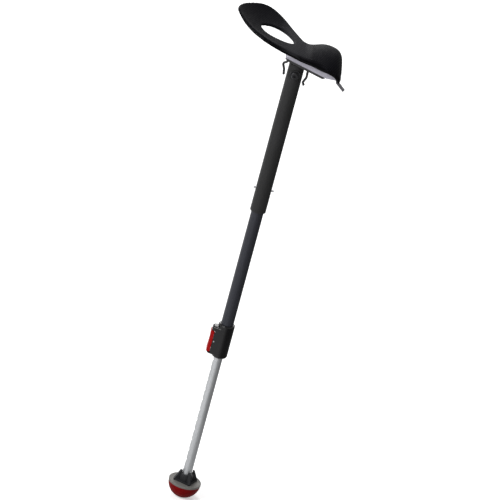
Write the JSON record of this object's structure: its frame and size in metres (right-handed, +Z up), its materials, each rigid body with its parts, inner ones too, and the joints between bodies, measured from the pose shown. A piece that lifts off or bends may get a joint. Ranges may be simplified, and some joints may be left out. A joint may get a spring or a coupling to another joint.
{
  "type": "perching stool",
  "caption": "One-legged perching stool: tilting padded saddle with an oval hole on a telescopic leg with an index latch and a domed rubber foot.",
  "frame": {"origin": "centre of the foot's flat contact patch, on the floor", "axes": "+Z up along the leg, +X towards the front of the saddle, +Y to its left"},
  "size_m": [0.2137, 0.1346, 0.9399],
  "materials": {
    "black_tube": "satin black powder coat",
    "blue_black_tube": "satin blue-black anodised look",
    "silver_tube": "satin anodised",
    "gloss_black": "moulded gloss",
    "red_plastic": "moulded satin",
    "red_rubber": "moulded satin",
    "grey_plate": "moulded matt",
    "saddle_skin": "grained self-skinned foam",
    "black_shell": "moulded matt",
    "grey_abs": "moulded matt",
    "black_plate": "matt black coat",
    "hook_wire": "black oxide wire",
    "black_steel": "black oxide",
    "bright_steel": "bright zinc",
    "head_nylon": "moulded glass-filled nylon",
    "black_nylon": "moulded nylon",
    "pale_acetal": "moulded acetal",
    "grey_rubber": "moulded tab"
  },
  "bodies": {
    "post": {"upper_tube": "black_tube", "post_head": "head_nylon", "pivot_bolt": "black_steel", "pivot_nut": "black_steel", "saddle_washers": "black_steel", "post_bush": "black_nylon"},
    "seat": {"seat_bracket": "black_plate", "tilt_bush": "pale_acetal", "seat_pan": "grey_abs", "seat_shell": "black_shell", "seat_pad": "saddle_skin", "front_hook": "hook_wire", "rear_hook": "hook_wire", "bracket_screws": "black_steel", "shell_screws": "bright_steel", "pull_tab": "grey_rubber"},
    "middle_stage": {"middle_tube": "blue_black_tube", "middle_slider": "pale_acetal", "snap_button_clip": "bright_steel", "latch_housing": "gloss_black", "housing_bush": "pale_acetal", "rocker_pin": "bright_steel", "latch_spring": "bright_steel", "housing_screws": "black_steel"},
    "latch": {"latch_rocker": "red_plastic", "latch_tooth": "bright_steel"},
    "lower_stage": {"lower_tube": "silver_tube", "lower_slider": "pale_acetal", "foot_hub": "gloss_black", "foot_plate": "grey_plate", "foot_dome": "red_rubber", "tube_plug": "bright_steel", "foot_bolt": "bright_steel"}
  },
  "joints": [
    {"name": "seat_tilt", "type": "hinge", "parent": "post", "child": "seat", "pos_m": [0, 0, 0.84311], "axis": [0, 1, 0], "range_deg": [-30, 0]},
    {"name": "middle_slide", "type": "slide", "parent": "post", "child": "middle_stage", "axis": [0, 0, 1], "range_m": [0, 0.16], "deforming": ["snap_button_clip"]},
    {"name": "rocker_press", "type": "hinge", "parent": "middle_stage", "child": "latch", "pos_m": [-0.0154, 0, 0.309], "axis": [0, 1, 0], "range_deg": [0, 5], "stiffness_Nm_per_rad": 0.06, "springref_deg": -28.65, "deforming": ["latch_spring"]},
    {"name": "lower_slide", "type": "slide", "parent": "middle_stage", "child": "lower_stage", "axis": [0, 0, 1], "range_m": [-0.04, 0.16]}
  ]
}
